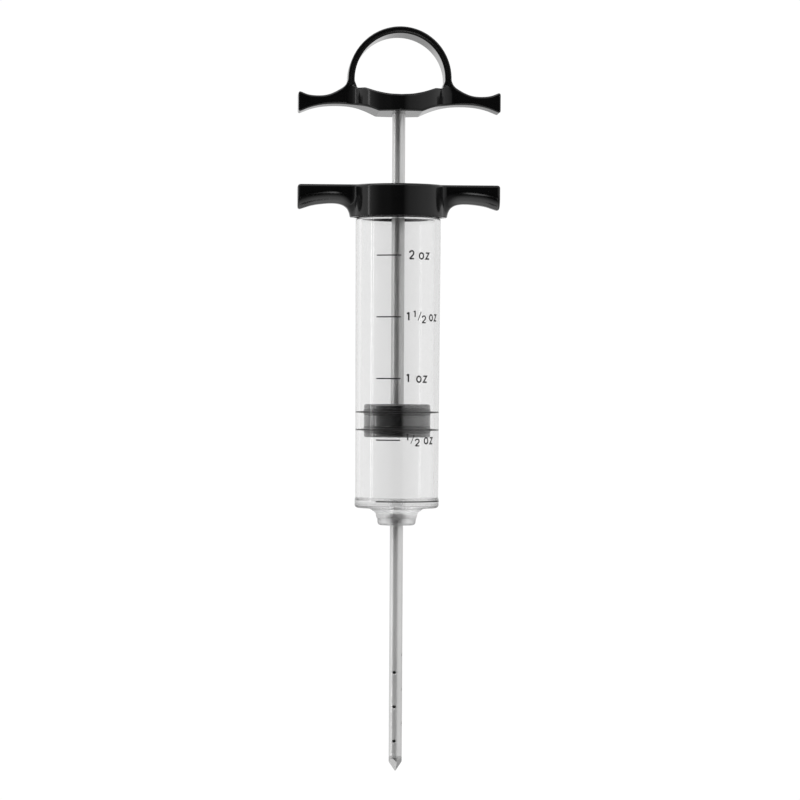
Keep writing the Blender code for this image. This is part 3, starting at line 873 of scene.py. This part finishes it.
def make_collar(material):
    """The clear ring under the nozzle, which traps the needle's flange."""
    top, hole = NOZZLE_Z - 0.04, NEEDLE_R + 0.03
    section = [
        (hole, COLLAR_LOW.z, 0.15),
        (COLLAR_HIGH.x - 0.15, COLLAR_LOW.z, 1.3),
        (COLLAR_HIGH.x, top, 0.12),
        (FLANGE_R, top),
        (FLANGE_R, FLANGE_LOW_Z - 0.03, 0.1),
        (hole, FLANGE_LOW_Z - 0.03),
    ]
    points, faces = turned(rounded(section), 192)
    new_object("collar", points, faces, "barrel", material, ["needle_collar"])


# Printed scale

GLYPHS = {  # the straight-sided ones, as strokes in a unit box
    "1": [[(0.72, 0.0), (0.72, 1.0)], [(0.72, 0.97), (0.1, 0.8)]],
    "z": [[(0.02, 1.0), (0.95, 1.0), (0.05, 0.0), (1.0, 0.0)]],
    "/": [[(0.0, 0.0), (1.0, 1.0)]],
}
INK_LIFT, INK_THICK = 0.004, 0.03
LINE_WIDTH = 0.46
ZERO_Z = -108.22
SCALE_SPACING = 23.335
TICK_LEFT, TICK_RIGHT, LABEL_TURN, ZERO_RIGHT = (math.radians(a) for a in (-32.7, 1.4, 9.3, 97))


def glyph_strokes(name):
    """A character's strokes in a unit box."""
    if name == "2":
        bow = [(0.05, 0.74), (0.14, 0.92), (0.42, 1.0), (0.74, 0.97), (0.92, 0.78), (0.84, 0.55)]
        return [smooth([*bow, (0.5, 0.3), (0.04, 0.0)], 4), [(0.04, 0.0), (1.0, 0.0)]]
    if name == "o":
        turns = [2 * math.pi * k / 28 for k in range(28)]
        oval = [(0.5 + 0.5 * math.sin(t), 0.5 - 0.5 * math.cos(t)) for t in turns]
        return [[*oval, oval[0]]]
    return GLYPHS[name]


def surface_r(z):
    """The barrel's outer radius where the scale is printed."""
    if z < RIM_TOP_Z:
        return RIM_R
    share = (SHOULDER_Z - z) / (SHOULDER_Z - RIM_TOP_Z)
    return BARREL_TOP_R + (BARREL_LOW_R - BARREL_TOP_R) * share


def stroke_solid(path, width):
    """A flat stroke wrapped on the barrel: path of (arc length, z) in millimetres."""
    closed = math.dist(path[0], path[-1]) < 1e-6
    line = np.array(subdivided(path[:-1] if closed else path, 0.5, closed))
    count = len(line)
    if closed:
        ahead, behind = np.roll(line, -1, 0) - line, line - np.roll(line, 1, 0)
    else:
        steps = np.diff(line, axis=0)
        ahead, behind = np.vstack([steps, steps[-1:]]), np.vstack([steps[:1], steps])
    ahead /= np.linalg.norm(ahead, axis=1)[:, None]
    behind /= np.linalg.norm(behind, axis=1)[:, None]
    middle = ahead + behind
    middle /= np.linalg.norm(middle, axis=1)[:, None]
    side = np.stack([-middle[:, 1], middle[:, 0]], axis=1)
    stretch = 1 / np.maximum((middle * ahead).sum(1), 0.45)
    offset = side * (width / 2 * stretch)[:, None]
    points, faces = [], []
    for (s_left, z_left), (s_right, z_right) in zip(line + offset, line - offset):
        for s, z, lift in (
            (s_left, z_left, INK_LIFT),
            (s_left, z_left, INK_LIFT + INK_THICK),
            (s_right, z_right, INK_LIFT + INK_THICK),
            (s_right, z_right, INK_LIFT),
        ):
            radius = surface_r(z)
            angle = s / radius
            points.append(((radius + lift) * math.sin(angle), -(radius + lift) * math.cos(angle), z))
    for k in range(count if closed else count - 1):
        a, b = 4 * k, 4 * ((k + 1) % count)
        faces += [(a + i, a + (i + 1) % 4, b + (i + 1) % 4, b + i) for i in range(4)]
    if not closed:
        last = 4 * (count - 1)
        faces += [(3, 2, 1, 0), (last, last + 1, last + 2, last + 3)]
    return points, faces


def make_scale(material):
    """Tick lines half a fluid ounce apart, each with its label, and the long zero line round the foot.
    A character is (name, place to the right, rise, width, height, weight) in millimetres."""
    small, thin, bold = 0.5, 0.3, 0.58
    fraction = [
        ("1", 0.0, 0.0, 0.95, 2.35, small),
        ("/", 1.9, -1.3, 1.4, 3.3, thin),
        ("2", 3.7, -2.1, 1.8, 2.5, small),
    ]
    oz = [("o", 0.0, -1.3, 1.85, 2.25, bold), ("z", 2.95, -1.3, 1.7, 2.25, bold)]

    def moved(marks, by):
        return [(name, x + by, *rest) for name, x, *rest in marks]

    one = ("1", 0.0, -1.3, 1.1, 3.05, 0.62)
    two = ("2", 0.9, -1.3, 1.8, 2.95, bold)
    labels = {
        "scale_half": fraction + moved(oz, 7.85),
        "scale_one": [one, *moved(oz, 4.2)],
        "scale_one_and_half": [one, *moved(fraction, 2.65), *moved(oz, 10.15)],
        "scale_two": [two, *moved(oz, 5.0)],
    }
    zero_line = [(TICK_LEFT * RIM_R, ZERO_Z), (ZERO_RIGHT * RIM_R, ZERO_Z)]
    made = {"scale_zero": [(zero_line, LINE_WIDTH)]}
    for step, (name, glyphs) in enumerate(labels.items(), start=1):
        z = ZERO_Z + SCALE_SPACING * step
        radius = surface_r(z)
        start = LABEL_TURN * radius
        strokes = [([(TICK_LEFT * radius, z), (TICK_RIGHT * radius, z)], LINE_WIDTH)]
        for glyph, x, rise, width, height, weight in glyphs:
            for path in glyph_strokes(glyph):
                place = [(start + x + u * width, z + rise + v * height) for u, v in path]
                strokes.append((place, weight))
        made[name] = strokes
    for name, strokes in made.items():
        points, faces = [], []
        for path, width in strokes:
            more, around = stroke_solid(path, width)
            faces += [tuple(k + len(points) for k in face) for face in around]
            points += more
        new_object(name, points, faces, "barrel", material)


# Studio

# What gloss reflects, by angle in degrees: brightness at each angle to the right, as seen from the
# object, of the photo's viewpoint
AROUND = [
    (-180, 0.85), (-150, 0.9), (-120, 1.15), (-79, 1.15), (-78, 7.0), (-76.6, 7.0), (-75.6, 0.9),
    (-58, 0.42), (-48, 0.21), (-38, 0.15), (-20, 0.13), (-15, 0.06), (0, 0.035), (13, 0.02),
    (18, 0.33), (27, 0.62), (60, 1.0), (100, 1.1), (130, 0.85), (180, 0.85),
]
OVERHEAD = [(-180, 1.5), (-90, 3.2), (-15, 3.2), (25, 1.5), (180, 1.5)]  # the same, higher up
ZENITH = (0.7, 0.7, 0.7, 1.0)
FLOOR_LIGHT = (2.2, 2.2, 2.2, 1.0)
LOW_SHARE = (0.6, 0.6, 0.6, 1.0)  # what is left of AROUND below the horizon
LAMPS = [(4.5, 4.0, -28, 9, 5.5), (38, 20, 20, 9, 1.6)]  # side, reach, height, reach, strength
SURROUND_STRENGTH = 1.02


def studio_world():
    """A white surround, seen directly and through clear plastic. Gloss reflects a studio with a dark
    opening round the camera, a bright strip on its left, soft overhead light, and a white floor."""
    world = bpy.data.worlds.new("studio")
    bpy.context.scene.world = world
    world.use_nodes = True
    nodes = Nodes(world.node_tree)
    direction = nodes.add("ShaderNodeTexCoord").outputs["Generated"]
    axes = nodes.add("ShaderNodeSeparateXYZ", {"Vector": direction}).outputs
    turn = nodes.math("ARCTAN2", axes["X"], nodes.math("MULTIPLY", axes["Y"], -1.0))
    turn = nodes.math("ADD", turn, math.radians(-CAMERA_TURN))
    share = nodes.scale(turn, -math.pi, math.pi, 0.0, 1.0)
    height = nodes.math("ARCSINE", axes["Z"])

    def by_turn(stops):
        return nodes.ramp(share, [(0.5 + a / 360, float(v)) for a, v in stops])

    def by_height(low, high):
        return nodes.scale(height, math.radians(low), math.radians(high), 0.0, 1.0)

    def mixed(factor, first, second, how="MIX"):
        inputs = {"Fac": factor, "Color1": first, "Color2": second}
        return nodes.add("ShaderNodeMixRGB", inputs, blend_type=how).outputs["Color"]

    def lamp(side, side_reach, tall, tall_reach, strength):
        """A soft-edged lamp, side degrees to the right and tall degrees above the horizon."""
        squares = []
        for angle, middle, reach in ((turn, side, side_reach), (height, tall, tall_reach)):
            ends = (math.radians(middle - reach), math.radians(middle + reach))
            offset = nodes.scale(angle, *ends, -1.0, 1.0, clamp=False)
            squares.append(nodes.math("POWER", offset, 2.0))
        spread = nodes.math("ADD", *squares)
        return nodes.math("MULTIPLY", nodes.math("SUBTRACT", 1.0, spread, clamp=True), strength)

    lit = mixed(by_height(-2.0, -4.5), by_turn(AROUND), LOW_SHARE, "MULTIPLY")
    lit = mixed(by_height(28, 42), lit, by_turn(OVERHEAD))
    lit = mixed(by_height(62, 78), lit, ZENITH)
    lit = mixed(by_height(-38, -70), lit, FLOOR_LIGHT)
    for place in LAMPS:
        lit = mixed(1.0, lit, lamp(*place), "ADD")
    studio = nodes.add("ShaderNodeBackground", {"Color": lit, "Strength": 1.0})
    plain = {"Color": (1.0, 1.0, 1.0, 1.0), "Strength": SURROUND_STRENGTH}
    white = nodes.add("ShaderNodeBackground", plain)
    path = nodes.add("ShaderNodeLightPath").outputs
    bounced = nodes.math("ADD", path["Glossy Depth"], path["Diffuse Depth"])
    straight = nodes.math("LESS_THAN", bounced, 0.5)
    through = nodes.math("MULTIPLY", path["Is Transmission Ray"], straight)
    seen = nodes.math("MAXIMUM", path["Is Camera Ray"], through)
    shaders = {0: seen, 1: studio.outputs["Background"], 2: white.outputs["Background"]}
    both = nodes.add("ShaderNodeMixShader", shaders)
    out = nodes.add("ShaderNodeOutputWorld")
    nodes.tree.links.new(both.outputs["Shader"], out.inputs["Surface"])


FLOOR_R = 0.4  # metres
FLOOR_GAP = 12.0  # millimetres below the needle's point


def studio_floor():
    """A plain white disc just under the needle, so evenly lit that it melts into the surround."""
    material, nodes = new_material("floor_white")
    speck = nodes.noise(40.0, 2.0)
    colour = nodes.ramp(speck, [(0.3, 1.02), (0.7, 1.04)])
    lit = nodes.add("ShaderNodeEmission", {"Color": colour})
    clear = nodes.add("ShaderNodeBsdfTransparent")
    back = nodes.add("ShaderNodeNewGeometry").outputs["Backfacing"]
    shaders = {0: back, 1: lit.outputs["Emission"], 2: clear.outputs["BSDF"]}
    both = nodes.add("ShaderNodeMixShader", shaders)
    out = nodes.add("ShaderNodeOutputMaterial")
    nodes.tree.links.new(both.outputs["Shader"], out.inputs["Surface"])
    mesh = bpy.data.meshes.new("floor")
    work = bmesh.new()
    bmesh.ops.create_circle(work, cap_ends=True, segments=96, radius=FLOOR_R)
    work.to_mesh(mesh)
    work.free()
    mesh.materials.append(material)
    floor = bpy.data.objects.new("floor", mesh)
    floor.location.z = (POINT_LOW.z - FLOOR_GAP) * MM
    floor.visible_glossy = False
    floor.visible_diffuse = False
    bpy.context.scene.collection.objects.link(floor)


CAMERA_TURN = -3.0  # degrees about Z, towards the object's left
CAMERA_ROLL = 0.33  # degrees
CAMERA_DISTANCE = 1.45  # metres, as are the next four
CAMERA_Z = -0.067
AIM_RIGHT = 0.00107
AIM_DOWN = 0.00268
VIEW_WIDTH = 0.30576  # at the object's axis


def make_camera():
    turn = math.radians(CAMERA_TURN)
    back = Vector((math.sin(turn), -math.cos(turn), 0.0))
    right = Vector((math.cos(turn), math.sin(turn), 0.0))
    data = bpy.data.cameras.new("camera")
    data.sensor_width = 36.0
    data.lens = data.sensor_width * CAMERA_DISTANCE / VIEW_WIDTH
    data.clip_start, data.clip_end = 0.05, 20.0
    camera = bpy.data.objects.new("camera", data)
    bpy.context.scene.collection.objects.link(camera)
    camera.location = back * CAMERA_DISTANCE + Vector((0.0, 0.0, CAMERA_Z))
    aim = right * AIM_RIGHT + Vector((0.0, 0.0, CAMERA_Z - AIM_DOWN))
    look = (aim - camera.location).to_track_quat("-Z", "Y").to_matrix()
    camera.rotation_euler = (look @ Matrix.Rotation(math.radians(CAMERA_ROLL), 3, "Z")).to_euler()
    bpy.context.scene.camera = camera


def main():
    make_camera()
    studio_world()
    studio_floor()
    bpy.context.scene.view_settings.view_transform = "Standard"

    black = black_plastic()
    clear = clear_plastic()
    fastener_steel = steel("fastener_steel", roughness=0.3, along=False)
    make_barrel(clear)
    make_cap(black)
    make_handle(black)
    make_rod(steel("rod_steel", roughness=0.32))
    make_piston(piston_plastic())
    make_seals(seal_rubber())
    make_washer(fastener_steel)
    make_nut(fastener_steel)
    make_needle(steel("needle_steel", roughness=0.38))
    # painted shade: the point's steel is darkened to 0.72, so its facets read grey instead of white
    # under the bright light from below
    make_point(steel("point_steel", roughness=0.3, along=False, painted_shade=0.72))
    make_collar(clear)
    make_scale(print_ink())


main()
